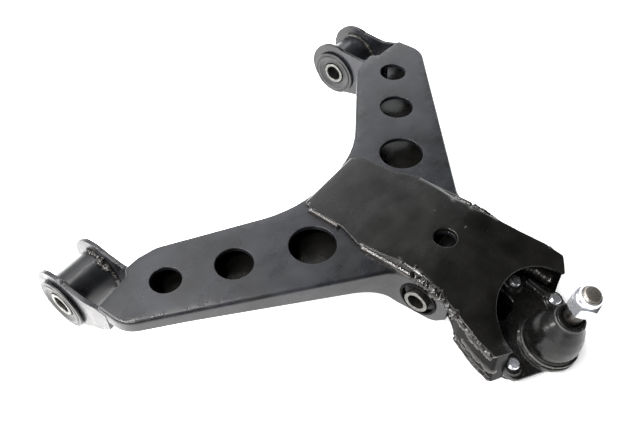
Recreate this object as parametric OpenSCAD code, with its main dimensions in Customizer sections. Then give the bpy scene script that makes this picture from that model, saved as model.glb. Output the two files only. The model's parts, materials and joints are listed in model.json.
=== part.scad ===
// Stamped lower control arm: an open channel pressing with two rubber pivot
// bushes, a cross tube for the damper bolt and a bolted ball joint.
// +X runs from the pivot axis out to the ball joint, +Y along the pivot axis.
// The origin is the centre of the +Y pivot bush.

/* [Layout] */
// Distance between the two pivot bush centres
pivot_span = 386; // [370:2:400]
// Height of the arm's top face over the pivot axis
top_z = 37; // [36:0.5:38]
// Distance from the pivot axis to the damper tube
damper_x = 242; // [240:1:244]
// Height of the damper tube's axis over the pivot axis
damper_z = 16; // [15:0.5:16]
// Distance from the pivot axis to the ball joint's boot seat
ball_x = 340.5; // [339:0.5:342]
// Height of the boot seat over the pivot axis
ball_z = -18; // [-19:0.5:-17]
// Outward lean of the ball joint's axis
ball_lean = 12; // [10:0.5:14]

/* [Arm pressing] */
// Thickness of the sheet
sheet = 4; // [3.5:0.25:4]
// Half width of the neck that carries the damper tube
neck_half = 49; // [48:0.5:50]
// X of the neck's open end
neck_end = 268; // [266:1:270]
// Radii of the lightening holes, from the pivot end
hole_r = [13, 16, 20];
// Distance of the outermost lightening hole from the pivot axis
hole_x = 77.4; // [76:0.2:79]
// Radius of the drain hole through cover and arm
drain_r = 10; // [6:0.5:10]
// Height of the closing plate's underside over the pivot axis
close_z = 12; // [12:0.5:14]
// Thickness of the closing plate
close_t = 3; // [2:0.25:3]

/* [Cover plate] */
// Thickness of the cover plate
cover_t = 4; // [3:0.5:4]
// X where the cover bends down
bend_x = 245; // [243:1:246]
// Angle of the sloping part
slope = 19; // [18:0.5:20]
// Radius of the yoke's cut-out
yoke_r = 48.5; // [47.5:0.5:49]
// X of the cut-out's centre
yoke_x = 338; // [337:0.5:339]

/* [Pivot bushes] */
// Radius of the eye on each ear
ear_r = 29; // [28:0.5:30]
// Distance between the inner faces of two ears
ear_gap = 38; // [36:1:38]
// Outer radius of the bush tube
tube_r = 22; // [21.5:0.5:22.5]
// Outer radius of the bush's steel shell
shell_r = 19.2; // [19:0.1:19.5]
// Thickness of the bush's steel shell
shell_t = 1.5; // [1:0.25:2]
// Outer radius of the inner sleeve
sleeve_r = 11.5; // [11:0.25:12]
// Radius of the inner sleeve's bore, for an M16 bolt
bore_r = 8.2; // [8:0.1:8.5]
// Length of the inner sleeve
sleeve_l = 52; // [50:1:54]

/* [Damper tube] */
// Outer radius of the tube
damper_r = 16.8; // [16:0.2:16.8]
// Wall of the tube
damper_wall = 2.3; // [2:0.1:2.5]
// Half length of the tube
damper_half = 50.5; // [50:0.5:51]
// Outer radius of the sleeve
damper_sleeve_r = 10.4; // [10:0.2:11]
// Radius of the sleeve's bore, for an M14 bolt
damper_bore_r = 7.1; // [7:0.1:7.3]
// Half length of the sleeve
damper_sleeve_half = 53.5; // [53:0.5:54]

/* [Ball joint] */
// Radius of the ball
stud_ball_r = 12; // [11.5:0.25:12]
// Height of the ball's centre over the boot seat
ball_h = 2; // [1.5:0.5:2]
// Radius of the casting's barrel
barrel_r = 20; // [19:0.5:21]
// Radius of the rubber boot at its foot
boot_r = 24; // [23.5:0.5:24]
// Height of the boot's lip over the boot seat
boot_h = 44; // [43:0.5:45]
// Height of the underside of the nut over the boot seat
nut_h = 61; // [60:1:63]
// Width of the nut across its flats
nut_flats = 21; // [19:1:22]
// Radius of the stud's thread
thread_r = 7; // [6:1:7]
// X of the outer pair of flange bolts
lug_x = 326; // [325:0.5:327]
// Y of the outer and inner flange bolts
lug_y = [39, 27];
// Spacing of the two pairs along the flange
lug_pitch = 36; // [35:0.5:37]

/* [Hidden] */
$fn = 64;
ARC_STEP = 6;                                    // degrees per segment on a drawn arc

FIT = 0.05;                                      // radial clearance of a running fit
pivot_y = pivot_span / 2;
under_z = top_z - sheet;                         // underside of the arm's top face
ear_root = 62;                                   // X where the outer ears end
ear_in = pivot_y - ear_gap / 2;                  // inner ear's face on the tube
ear_out = pivot_y + ear_gap / 2;
shell_half = ear_gap / 2 + sheet + 1.5;          // half length of the bush's steel shell
lip_r = 24.4;                                    // radius of the rubber's lip over the ears
leg_angle = atan2(97.6, 72.5);                   // direction of a row of lightening holes
hole_y = 165.1;                                  // outermost lightening hole
hole_at = [0, 55.6, 121.6];                      // distances along the row
drain_x = damper_x - 6.5;
bead_r = 3.4;
flange_z = ball_z + 0.5;                         // top of the ball joint's flange at its outer bolts
flange_t = 5.5;
tray_t = 3.5;
washer_t = 1.5;
bolt_r = 5;
bolt_end = 5.5;                                  // height of the flange bolts' ends over the flange
lug_r = 9;
seat_r = 14.2;
seat_low = -9.5;
seat_high = ball_h + 6;
cap_low = -13;
cap_lip = 1.6;
nut_t = 12;
collar_h = 6;
stud_end = 82;
taper_from = 38;
bed_x = bend_x - cover_t * tan(slope / 2);       // where the cover's underside bends
shaded = "#1c1d1f";
painted = "#2b2d30";
zinc = "#c9ccd1";
steel = "#7d8084";
rubber = "#17181a";

// ---- outlines: corners are [x, y, radius], counter-clockwise ----

function unit(v) = v / norm(v);
function flat(p) = [p.x, p.y];
function wrap(a) = a > 180 ? a - 360 : a < -180 ? a + 360 : a;
function corner_arc(a, b, c) =
    let (u = unit(flat(a) - flat(b)),
         v = unit(flat(c) - flat(b)),
         half = acos(u * v) / 2,
         centre = flat(b) + unit(u + v) * (b.z / sin(half)),
         start = flat(b) + u * (b.z / tan(half)) - centre,
         end = flat(b) + v * (b.z / tan(half)) - centre,
         from = atan2(start.y, start.x),
         sweep = wrap(atan2(end.y, end.x) - from),
         steps = max(2, ceil(abs(sweep) / ARC_STEP)))
    [for (i = [0:steps]) centre + b.z * [cos(from + sweep * i / steps), sin(from + sweep * i / steps)]];
function prev(c, i) = c[(i + len(c) - 1) % len(c)];
function next(c, i) = c[(i + 1) % len(c)];
// Points of an outline with every corner turned into its arc
function rounded(c) =
    [for (i = [0:len(c) - 1]) each c[i].z > 0 ? corner_arc(prev(c, i), c[i], next(c, i)) : [flat(c[i])]];
// The same outline, its sides moved inwards by d
function inset(c, d) =
    [for (i = [0:len(c) - 1])
        let (u = unit(flat(c[i]) - flat(prev(c, i))),
             v = unit(flat(next(c, i)) - flat(c[i])),
             n = [-u.y, u.x],
             m = [-v.y, v.x],
             p = flat(c[i]) + d * (n + m) / (1 + n * m),
             r = c[i].z == 0 ? 0 : cross(u, v) > 0 ? max(c[i].z - d, 0.5) : c[i].z + d)
        [p.x, p.y, r]];
// A half outline drawn at y > 0 from the +X end, closed by its mirror image
function mirrored(h) = concat(h, [for (i = [len(h) - 1:-1:0]) [h[i].x, -h[i].y, h[i].z]]);
// A plan outline as it lies on a plane that slopes down from x0
function laid(c, x0, angle) = [for (p = c) [(p.x - x0) / cos(angle), p.y, p.z]];

leg_run = (neck_half + 1 - 215.5) / -1.1887;     // X run of the leg's outer side
arm_corners = mirrored([
    [neck_end, neck_half, 0], [220.4, neck_half + 1, 22], [220.4 - leg_run, 215.5, 24],
    [52, 215.5, 3], [49.5, 194, 0], [48.8, 182, 4], [41.5, 176, 4], [41.5, 162, 10],
    [46, 145, 25], [114.9, 42, 110]]);
cover_corners = mirrored([
    [326, 47.5, 0], [323.5, 51.5, 0], [317.5, 61, 3], [300, 58.8, 30], [279, 52.5, 20],
    [262, 48, 20], [181, 47.5, 12], [160, 40, 14], [121.5, 39, 6]]);
tray_corners = mirrored([
    [325.5, 44.5, 0], [318, 58.5, 3], [300, 56.3, 30], [280, 49.5, 20],
    [272, neck_half - sheet, 10], [256, neck_half - sheet, 0]]);

// ---- placing ----

// Moves a piece drawn about the middle of the pivot axis into the part's frame
module from_pivot_middle() { translate([0, -pivot_y, 0]) children(); }
// Puts a piece drawn along Z about a bush centre, side = 1 at the front, -1 at the rear
module at_bush(side) {
    from_pivot_middle() translate([0, side * pivot_y, 0]) rotate([side * -90, 0, 0]) children();
}
module at_damper() {
    from_pivot_middle() translate([damper_x, 0, damper_z]) rotate([-90, 0, 0]) children();
}
module at_boot_seat() {
    from_pivot_middle() translate([ball_x, 0, ball_z]) rotate([0, ball_lean, 0]) children();
}
// Frame of the ball joint's flange: its origin on the flange's top face between the outer bolts
module on_flange() { translate([lug_x, 0, flange_z]) rotate([0, slope, 0]) children(); }
module at_flange() { from_pivot_middle() on_flange() children(); }
// Frame of the cover's sloping part: its origin on the underside below the bend
module on_slope() {
    translate([bend_x, 0, top_z + cover_t]) rotate([0, slope, 0]) translate([0, 0, -cover_t]) children();
}
// Everything above the plane of the cover's sloping underside
module over_slope() { translate([bed_x, -150, top_z]) rotate([0, slope, 0]) cube([200, 300, 80]); }
module side_profile(points) { translate([0, 300, 0]) rotate([90, 0, 0]) linear_extrude(600) polygon(points); }
module both_sides() {
    children();
    mirror([0, 1, 0]) children();
}
module damper_bore() {
    translate([damper_x, 0, damper_z]) rotate([90, 0, 0]) cylinder(r = damper_r, h = 200, center = true);
}

// ---- arm ----

module arm_ring(height) {
    linear_extrude(height) difference() {
        polygon(rounded(arm_corners));
        polygon(rounded(inset(arm_corners, sheet)));
    }
}

module arm_skirts() {
    low = -20;
    outer_reach = rounded([[ear_root, top_z, 0], [ear_root, 25, 3], [112, 24.5, 60], [206, 17, 24],
                           [224, -3, 13], [258, -3, 13], [neck_end, 11, 0], [neck_end, top_z, 0]]);
    inner_reach = [[30, top_z], [30, 6], [70, close_z], [130, close_z], [130, top_z]];
    both_sides() intersection() {
        translate([0, 0, low]) arm_ring(under_z - low);
        side_profile(outer_reach);
        translate([0, 0, low]) linear_extrude(100)
            polygon([[ear_root, 186], [170, neck_half - sheet], [neck_end + 10, neck_half - sheet],
                     [neck_end + 10, 230], [ear_root, 230]]);
    }
    intersection() {
        translate([0, 0, low]) arm_ring(under_z - low);
        side_profile(inner_reach);
        translate([0, 0, low]) linear_extrude(100)
            polygon([[20, ear_in - sheet], [60, ear_in - sheet], [168, 40],
                     [168, -40], [60, sheet - ear_in], [20, sheet - ear_in]]);
    }
}

module arm_pressing() {
    color(painted) from_pivot_middle() difference() {
        union() {
            translate([0, 0, under_z]) linear_extrude(sheet) polygon(rounded(arm_corners));
            arm_skirts();
        }
        both_sides() for (i = [0:2])
            translate([hole_x + hole_at[i] * cos(leg_angle), hole_y - hole_at[i] * sin(leg_angle), 0])
                cylinder(r = hole_r[i], h = 60);
        translate([drain_x, 0, under_z - 1]) cylinder(r = drain_r, h = 10);
        damper_bore();
        over_slope();
    }
}

// Pan between the skirts that closes the legs from below, with a flange up to the sheet
module closing_plate() {
    flange_in = 14;                              // from the arm's outer edge to the flange
    end_x = damper_x - damper_r - 0.5;
    slot_x = ear_root + 6;                       // end of the slot round the inner ear
    slot_low = ear_in - sheet - 1.5;
    slot_high = ear_in + 1.5;
    outer = inset(arm_corners, flange_in);
    inner = inset(arm_corners, flange_in + close_t);
    reach = [[end_x, outer[1].y], flat(outer[1]), flat(outer[2]), [40, outer[2].y],
             [40, slot_high], [slot_x, slot_high], [slot_x, slot_low], [40, slot_low],
             [40, 30], [90, 0], [end_x, 0]];
    flange = [[end_x, outer[1].y], flat(outer[1]), flat(outer[2]),
              flat(inner[2]), flat(inner[1]), [end_x, inner[1].y]];
    color(shaded) from_pivot_middle() both_sides() {
        translate([0, 0, close_z]) linear_extrude(close_t) intersection() {
            polygon(rounded(inset(arm_corners, sheet + 0.1)));
            polygon(reach);
        }
        translate([0, 0, close_z]) linear_extrude(under_z - close_z) polygon(flange);
    }
}

module cover_plate() {
    color(shaded) from_pivot_middle() difference() {
        union() {
            intersection() {
                translate([0, 0, top_z]) linear_extrude(cover_t) polygon(rounded(cover_corners));
                translate([0, -100, 0]) cube([bend_x, 200, 100]);
            }
            on_slope() intersection() {
                linear_extrude(cover_t) polygon(rounded(laid(cover_corners, bend_x, slope)));
                translate([0, -100, -10]) cube([200, 200, 40]);
            }
        }
        translate([drain_x, 0, top_z - 1]) cylinder(r = drain_r, h = 10);
        on_slope() translate([(yoke_x - bend_x) / cos(slope), 0, -20]) cylinder(r = yoke_r, h = 40);
    }
}

// Fillet bead laid on the arm's top face along a straight edge of the cover
module bead(from, to, r) {
    run = to - from;
    translate([from.x, from.y, top_z]) rotate([0, 0, atan2(run.y, run.x)]) difference() {
        rotate([0, 90, 0]) cylinder(r = r, h = norm(run));
        translate([-1, -20, -20]) cube([norm(run) + 2, 40, 20]);
    }
}
module cover_welds() {
    color(shaded) from_pivot_middle() difference() {
        both_sides() {
            bead([124, 39], [158, 39.4], bead_r);
            bead([184, 47.5], [bend_x - 2, 47.5], bead_r);
        }
        translate([0, 0, top_z - 1]) linear_extrude(20) polygon(rounded(cover_corners));
    }
}

// ---- yoke under the cover ----

module tray_walls() {
    low = -40;
    both_sides() intersection() {
        translate([0, 0, low]) linear_extrude(100) difference() {
            polygon(rounded(tray_corners));
            polygon(rounded(inset(tray_corners, tray_t)));
        }
        translate([0, 0, low]) linear_extrude(120)
            polygon([[250, 40], [300, 40], [312, 47.5], [400, 47.5], [400, 100], [250, 100]]);
    }
}

// Everything below the tray's floor
module under_tray_cut() {
    on_flange() translate([-150, -150, -flange_t - tray_t - 100]) cube([300, 300, 100]);
}

module yoke_tray() {
    floor_x = 281;
    color(shaded) from_pivot_middle() difference() {
        union() {
            difference() {
                tray_walls();
                side_profile([[200, -100], [floor_x, -100], [floor_x, -12], [neck_end, 8], [200, 8]]);
            }
            intersection() {
                on_flange() translate([0, 0, -flange_t - tray_t]) linear_extrude(tray_t)
                    polygon(rounded(laid(tray_corners, lug_x, slope)));
                translate([floor_x, -100, -100]) cube([100, 200, 200]);
            }
        }
        over_slope();
        under_tray_cut();
        damper_bore();
        on_flange() {
            translate([0, 0, -flange_t]) linear_extrude(60) polygon(rounded(inset(flange_corners, -0.3)));
            translate([(ball_x - lug_x) / cos(slope), 0, -50]) cylinder(r = barrel_r + 8, h = 49);
            for (p = lug_points) translate([p.x, p.y, -50]) cylinder(r = bolt_r, h = 49);
        }
    }
}

module yoke_welds() {
    color(shaded) from_pivot_middle() difference() {
        both_sides() intersection() {
            on_slope() translate([0, 0, -3]) linear_extrude(3) difference() {
                polygon(rounded(laid(inset(cover_corners, 0.6), bend_x, slope)));
                polygon(rounded(laid(inset(cover_corners, 6), bend_x, slope)));
            }
            translate([0, 0, -60]) linear_extrude(200) polygon([[270, 30], [270, 90], [316, 90], [316, 30]]);
        }
        translate([0, 0, -60]) linear_extrude(200) polygon(rounded(tray_corners));
    }
}

// ---- pivot ears and bushes ----

module ear(side, y_low, outer) {
    end_x = outer ? ear_root : ear_root + 4;
    lower = outer
        ? [[9, -23, 0], [30, -9, 6], [50, 3, 8], [end_x, 14, 4]]
        : [[4, -24.5, 0], [58, -12, 6], [end_x, 4, 4]];
    upper = [[end_x, under_z, 0], [50, under_z, 0], [34, 28.5, 20], [10, 30.8, 0], [-1, 4, 0]];
    color(painted) from_pivot_middle() translate([0, side > 0 ? y_low + sheet : -y_low, 0]) rotate([90, 0, 0])
        linear_extrude(sheet) difference() {
            union() {
                translate([-1, 4]) circle(r = ear_r);
                polygon(rounded(concat(lower, upper)));
            }
            circle(r = shell_r);
        }
}

module ear_front_outer() { ear(1, ear_out, true); }
module ear_front_inner() { ear(1, ear_in - sheet, false); }
module ear_rear_outer() { ear(-1, ear_out, true); }
module ear_rear_inner() { ear(-1, ear_in - sheet, false); }

module ring(outer, inner, low, high) {
    rotate_extrude() translate([inner, low]) square([outer - inner, high - low]);
}

module pivot_tube(side) {
    color(painted) at_bush(side) ring(tube_r, shell_r, -ear_gap / 2, ear_gap / 2);
}
module pivot_tube_front() { pivot_tube(1); }
module pivot_tube_rear() { pivot_tube(-1); }

// Weld run round the tube where it meets each ear
module ear_welds(side) {
    leg = 3.2;
    run = 150;
    color(shaded) at_bush(side) for (end = [-1, 1]) mirror([0, 0, end > 0 ? 0 : 1])
        rotate([0, 0, side > 0 ? -120 : -30]) rotate_extrude(angle = run)
            polygon([[tube_r, ear_gap / 2], [tube_r, ear_gap / 2 - leg], [tube_r + leg, ear_gap / 2]]);
}
module ear_welds_front() { ear_welds(1); }
module ear_welds_rear() { ear_welds(-1); }

module bush_shell(side) {
    color(steel) at_bush(side) ring(shell_r, shell_r - shell_t, -shell_half, shell_half);
}
module bush_shell_front() { bush_shell(1); }
module bush_shell_rear() { bush_shell(-1); }

// Rubber fills the shell and ends in a sloping lip over its rim
module bush_rubber(side) {
    rim = shell_half;
    inner = sleeve_r + FIT;
    color(rubber) at_bush(side) rotate_extrude() polygon([
        [inner, -rim + 1], [inner + 1.5, -rim - 0.5], [shell_r - 1, -rim - 2.2], [lip_r, -rim - 1.6],
        [lip_r, -rim], [shell_r - shell_t, -rim], [shell_r - shell_t, rim], [lip_r, rim],
        [lip_r, rim + 1.6], [shell_r - 1, rim + 2.2], [inner + 1.5, rim + 0.5], [inner, rim - 1]]);
}
module bush_rubber_front() { bush_rubber(1); }
module bush_rubber_rear() { bush_rubber(-1); }

module bush_sleeve(side) {
    color(zinc) at_bush(side) ring(sleeve_r, bore_r, -sleeve_l / 2, sleeve_l / 2);
}
module bush_sleeve_front() { bush_sleeve(1); }
module bush_sleeve_rear() { bush_sleeve(-1); }

// ---- damper bolt tube ----

module damper_tube() {
    color(painted) at_damper() ring(damper_r, damper_r - damper_wall, -damper_half, damper_half);
}
module damper_rubber() {
    recess = 5;
    color(rubber) at_damper()
        ring(damper_r - damper_wall, damper_sleeve_r + FIT, recess - damper_half, damper_half - recess);
}
module damper_sleeve() {
    color(zinc) at_damper() ring(damper_sleeve_r, damper_bore_r, -damper_sleeve_half, damper_sleeve_half);
}

// ---- ball joint ----

lug_points = [for (s = [-1, 1], i = [0, 1]) [-lug_pitch * i, s * lug_y[i]]];
flange_corners = mirrored([
    [30, 14, 6], [lug_r, lug_y[0] + lug_r, 8.9], [-lug_r, lug_y[0] + lug_r, 8.9],
    [-lug_pitch - lug_r, lug_y[1] + lug_r, 8.9], [-lug_pitch - lug_r, 15, 4], [-24, 12, 8]]);

module ball_joint_housing() {
    boss_h = 3;
    rib_h = 5;
    rib_y = 38;
    color(shaded) difference() {
        union() {
            at_boot_seat() rotate_extrude() polygon([
                [0, cap_low + 1], [16, cap_low + 1], [18, cap_low + 3], [barrel_r, cap_low + 6],
                [barrel_r, -6], [boot_r + 1.5, -4.5], [boot_r + 1.5, -FIT], [barrel_r, -FIT],
                [barrel_r, seat_high], [0, seat_high]]);
            at_flange() {
                translate([0, 0, -flange_t]) linear_extrude(flange_t) polygon(rounded(flange_corners));
                for (p = lug_points) translate([p.x, p.y, -1]) cylinder(r = lug_r - 0.5, h = boss_h + 1);
                for (s = [-1, 1]) translate([-lug_pitch + 8, s * rib_y - 1.5, -1]) cube([22, 3, rib_h + 1]);
            }
        }
        at_boot_seat() {
            translate([0, 0, cap_low]) cylinder(r = seat_r + cap_lip, h = seat_low - cap_low);
            translate([0, 0, seat_low - 1]) cylinder(r = seat_r, h = 60);
        }
        at_flange() for (p = lug_points) translate([p.x, p.y, -20]) cylinder(r = bolt_r, h = 40);
    }
}

module ball_seat() {
    color("#d8d4c4") at_boot_seat() difference() {
        translate([0, 0, seat_low]) cylinder(r = seat_r, h = seat_high - seat_low);
        translate([0, 0, ball_h]) sphere(r = stud_ball_r + FIT, $fn = 96);
    }
}

module ball_joint_cap() {
    color(steel) at_boot_seat() difference() {
        translate([0, 0, cap_low]) cylinder(r = seat_r + cap_lip, h = seat_low - cap_low);
        translate([0, 0, ball_h]) sphere(r = stud_ball_r + 0.6, $fn = 96);
    }
}

module ball_stud() {
    neck_r = 6.8;
    color(steel) at_boot_seat() difference() {
        union() {
            translate([0, 0, ball_h]) sphere(r = stud_ball_r, $fn = 96);
            rotate_extrude() polygon([
                [0, ball_h], [neck_r, ball_h], [neck_r, 24], [8, 30], [8, taper_from],
                [thread_r - FIT, nut_h - 4], [thread_r - FIT, stud_end - 1.2],
                [thread_r - 1.2, stud_end], [0, stud_end]]);
        }
        translate([0, 0, stud_end - 4]) cylinder(r = 2.9, h = 5, $fn = 6);
    }
}

module stud_nut() {
    corner_r = nut_flats / 2 / cos(30);
    bevel = 1.6;
    color(zinc) at_boot_seat() translate([0, 0, nut_h]) difference() {
        intersection() {
            cylinder(r = corner_r, h = nut_t, $fn = 6);
            rotate_extrude() polygon([[0, 0], [corner_r - bevel, 0], [corner_r, bevel / 2],
                                      [corner_r, nut_t - bevel / 2], [corner_r - bevel, nut_t], [0, nut_t]]);
        }
        translate([0, 0, -1]) cylinder(r = thread_r, h = nut_t + 2);
    }
}

// Locking collar on top of the nut
module nut_insert() {
    outer = 9.4;
    color("#e6e7e8") at_boot_seat() translate([0, 0, nut_h + nut_t]) rotate_extrude()
        polygon([[thread_r, 0], [outer, 0], [outer, collar_h - 2],
                 [outer - 1.6, collar_h], [thread_r, collar_h]]);
}

// Outer and inner faces of the boot, [radius, height] from foot to lip
boot_face = [[boot_r, 0], [boot_r, 3.5], [23, 6], [22.6, 12], [21.4, 20],
             [18.6, 28], [14.4, 35], [11.6, 39], [11.6, boot_h]];
module dust_boot() {
    inside = [[8.4, boot_h], [8.4, 39], [12, 33.5], [16.4, 27], [19.2, 19.5],
              [20.4, 12], [barrel_r + 0.6, 8.5], [barrel_r, 8], [barrel_r, 0]];
    color(rubber) at_boot_seat() rotate_extrude() polygon(concat(boot_face, inside));
}

module boot_lower_ring() {
    color(steel) at_boot_seat() ring(boot_r + 1.2, boot_r, 0.8, 2.8);
}

module boot_upper_ring() {
    color(steel) at_boot_seat() ring(13.2, 11.9, 40.4, 42.4);
}

module flange_bolts() {
    head_t = 4;
    bevel = 0.8;
    under = -flange_t - tray_t - washer_t;
    color(zinc) at_flange() for (p = lug_points) translate([p.x, p.y, 0]) {
        translate([0, 0, under - head_t]) cylinder(r = 8.1, h = head_t, $fn = 6);
        translate([0, 0, under]) cylinder(r = bolt_r, h = bolt_end - bevel - under);
        translate([0, 0, bolt_end - bevel]) cylinder(r = bolt_r - bevel, h = bevel);
    }
}

module flange_washers() {
    color(steel) at_flange() for (p = lug_points) translate([p.x, p.y, -flange_t - tray_t - washer_t])
        ring(8.8, bolt_r, 0, washer_t);
}

arm_pressing();
closing_plate();
cover_plate();
cover_welds();
yoke_tray();
yoke_welds();
ear_front_outer();
ear_front_inner();
ear_rear_outer();
ear_rear_inner();
pivot_tube_front();
pivot_tube_rear();
ear_welds_front();
ear_welds_rear();
bush_shell_front();
bush_shell_rear();
bush_rubber_front();
bush_rubber_rear();
bush_sleeve_front();
bush_sleeve_rear();
damper_tube();
damper_rubber();
damper_sleeve();
ball_joint_housing();
ball_seat();
ball_joint_cap();
ball_stud();
stud_nut();
nut_insert();
dust_boot();
boot_lower_ring();
boot_upper_ring();
flange_bolts();
flange_washers();
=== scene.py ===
import json
import math

import bmesh
import bpy
from mathutils import Matrix, Vector, noise
from mathutils.geometry import delaunay_2d_cdt


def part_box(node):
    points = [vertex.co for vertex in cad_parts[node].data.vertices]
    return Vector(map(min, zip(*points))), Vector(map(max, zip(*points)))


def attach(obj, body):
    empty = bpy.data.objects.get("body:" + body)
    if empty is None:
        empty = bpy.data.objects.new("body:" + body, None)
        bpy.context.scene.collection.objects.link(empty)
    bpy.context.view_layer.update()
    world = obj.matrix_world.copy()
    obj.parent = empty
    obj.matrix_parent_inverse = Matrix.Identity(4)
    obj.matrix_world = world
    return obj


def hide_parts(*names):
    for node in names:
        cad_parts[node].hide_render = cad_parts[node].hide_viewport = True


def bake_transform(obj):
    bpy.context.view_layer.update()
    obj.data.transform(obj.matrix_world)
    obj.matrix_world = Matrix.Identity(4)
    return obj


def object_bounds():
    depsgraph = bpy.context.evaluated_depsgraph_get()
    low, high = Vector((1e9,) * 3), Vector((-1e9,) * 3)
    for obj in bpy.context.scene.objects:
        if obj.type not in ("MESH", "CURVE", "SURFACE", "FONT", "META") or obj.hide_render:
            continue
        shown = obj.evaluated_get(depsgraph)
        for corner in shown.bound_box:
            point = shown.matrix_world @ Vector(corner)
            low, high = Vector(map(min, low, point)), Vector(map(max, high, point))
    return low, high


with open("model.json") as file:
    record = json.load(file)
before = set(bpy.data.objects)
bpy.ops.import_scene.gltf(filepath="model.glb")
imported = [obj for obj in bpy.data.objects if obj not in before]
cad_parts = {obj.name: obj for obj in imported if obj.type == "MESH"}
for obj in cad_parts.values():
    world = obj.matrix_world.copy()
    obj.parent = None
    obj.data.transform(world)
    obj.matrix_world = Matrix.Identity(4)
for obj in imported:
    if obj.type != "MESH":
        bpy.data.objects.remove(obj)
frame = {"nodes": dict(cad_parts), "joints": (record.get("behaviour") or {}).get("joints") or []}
cad_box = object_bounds()

# Shapes are drawn in millimetres about the middle of the pivot axis: +X out to the
# ball joint, +Y along the pivot axis, +Z up. ROW turns that into the frame's metres.
MM = 0.001
JOINTS = {joint["name"]: joint for joint in frame["joints"]}


def joint_place(name):
    return Vector(JOINTS[name]["pos_m"]) / MM


FRONT_BUSH = joint_place("front_bush_twist")
REAR_BUSH = joint_place("rear_bush_twist")
MIDDLE = (FRONT_BUSH + REAR_BUSH) / 2
ROW = Matrix.Scale(MM, 4) @ Matrix.Translation(MIDDLE)
PIVOT_Y = (FRONT_BUSH - REAR_BUSH).length / 2
STUD_AXIS = Vector(JOINTS["stud_spin"]["axis"])
BALL_LEAN = math.atan2(STUD_AXIS.x, STUD_AXIS.z)
BALL_H = 2.0
SEAT = joint_place("stud_tilt") - MIDDLE - STUD_AXIS * BALL_H
DAMPER = joint_place("damper_bush_twist") - MIDDLE

# ---------------------------------------------------------------- sizes, in millimetres

# An outline is a list of corners (x, y, corner radius), mostly only the half at y > 0, from its +X end.

# Arm pressing
TOP = 37.0
SHEET = 4.0
UNDER = TOP - SHEET
NECK_HALF = 49.0
NECK_END = 268.0
BEND_R = 3.0
SPACING = 2.5
CUT_EDGE = 0.5
INNER_BEND = 1.0
LEG_ROOT_X = 220.4
LEG_ROOT_Y = NECK_HALF + 1
LEG_END_Y = 215.5
LEG_SLOPE = 1.1887
LEG_END_X = LEG_ROOT_X - (LEG_END_Y - LEG_ROOT_Y) / LEG_SLOPE
ARM = [
    (NECK_END, NECK_HALF, 0), (LEG_ROOT_X, LEG_ROOT_Y, 22), (LEG_END_X, LEG_END_Y, 24),
    (52, LEG_END_Y, 3), (49.5, 194, 0), (48.8, 182, 4), (41.5, 176, 4), (41.5, 162, 10),
    (46, 145, 25), (114.9, 42, 110),
]
HOLE_R = [13.0, 16.0, 20.0]
HOLE_STEP = [0.0, 55.6, 121.6]
HOLE_START = Vector((77.4, 165.1))
LEG_RUN = Vector((72.5, -97.6)).normalized()
DRAIN_R = 10.0
DRAIN_X = 235.5
EAR_ROOT = 62.0

# The skirt's lower edge, as corners (x, z, radius), and the lines in plan that each skirt lies beyond
SKIRT_LOW = -3.0
OUTER_SKIRT = [
    (EAR_ROOT, 25, 0), (112, 24.5, 60), (206, 17, 24), (224, SKIRT_LOW, 13), (258, SKIRT_LOW, 13),
    (NECK_END, 11, 0),
]
OUTER_LINE = ((EAR_ROOT, 186), (170, NECK_HALF - SHEET))
INNER_SKIRT = [(30, 6, 0), (70, 12, 60), (130, 12, 0)]
INNER_LINE = ((60, 170), (168, 40))

# Cover plate, bent down over the arm's end, and the tray under its yoke
COVER_T = 4.0
BEND_X = 245.0
SLOPE = math.radians(19)
BED_X = BEND_X - COVER_T * math.tan(SLOPE / 2)
FOLD_HALF = 7.0
YOKE_X = 338.0
YOKE_R = 48.5
YOKE_TIP_X = 326.0
TRAY = [(325.5, 44.5, 0), (318, 58.5, 3), (300, 56.3, 30), (280, 49.5, 20), (272, 45, 10), (256, 45, 0)]
TRAY_DROP = 9.0 / math.cos(SLOPE)
COVER = [
    (323.5, 51.5, 1), (317.5, 61, 3), (300, 58.8, 30), (279, 52.5, 20), (262, 48, 20),
    (181, 47.5, 12), (160, 40, 14), (121.5, 39, 6),
]

# Pivot bushes
EAR_GAP = 38.0
TUBE_R = 22.0
SHELL_R = 19.2
SLEEVE_R = 11.5
LIP_R = 24.4
BORE_R = 8.2
SLEEVE_HALF = 26.0

# Damper bush
DAMPER_R = 16.8
DAMPER_RUBBER_R = 14.5
DAMPER_HALF = 50.5
DAMPER_SLEEVE_R = 10.4
DAMPER_BORE_R = 7.1
DAMPER_SLEEVE_HALF = 53.5

# Ball joint, with heights over its seat
BALL_R = 11.93
NECK_R = 6.8
TAPER_R = 8.0
BOOT_R = 24.0
BOOT_H = 44.0
NUT_H = 61.0
NUT_T = 12.0
NUT_FLATS = 21.0
COLLAR_H = 6.0
THREAD_R = 6.95
STUD_END = 82.0

# Flange, with its bolts
LUG_X = 326.0
LUG_Z = SEAT.z + 0.5
LUG_POINTS = [(0, 39), (-36, 27), (-36, -27), (0, -39)]
FLANGE_T = 5.5
TRAY_T = 3.5
WASHER_T = 1.5
BOLT_R = 4.95
BOLT_END = 5.5
BOLT_FLATS = 14.0
BOLT_HEAD = 4.0

# ---------------------------------------------------------------- places


def turned(axis, angle):
    return Matrix.Rotation(angle, 4, axis)


def at_bush(side):
    """Z runs outwards from a bush's centre; side is 1 at the front and -1 at the rear."""
    return Matrix.Translation((0, side * PIVOT_Y, 0)) @ turned("X", -side * math.pi / 2)


AT_DAMPER = Matrix.Translation(DAMPER) @ turned("X", -math.pi / 2)
AT_SEAT = Matrix.Translation(SEAT) @ turned("Y", BALL_LEAN)
AT_FLANGE = Matrix.Translation((LUG_X, 0, LUG_Z)) @ turned("Y", SLOPE)

# ---------------------------------------------------------------- outlines

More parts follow.
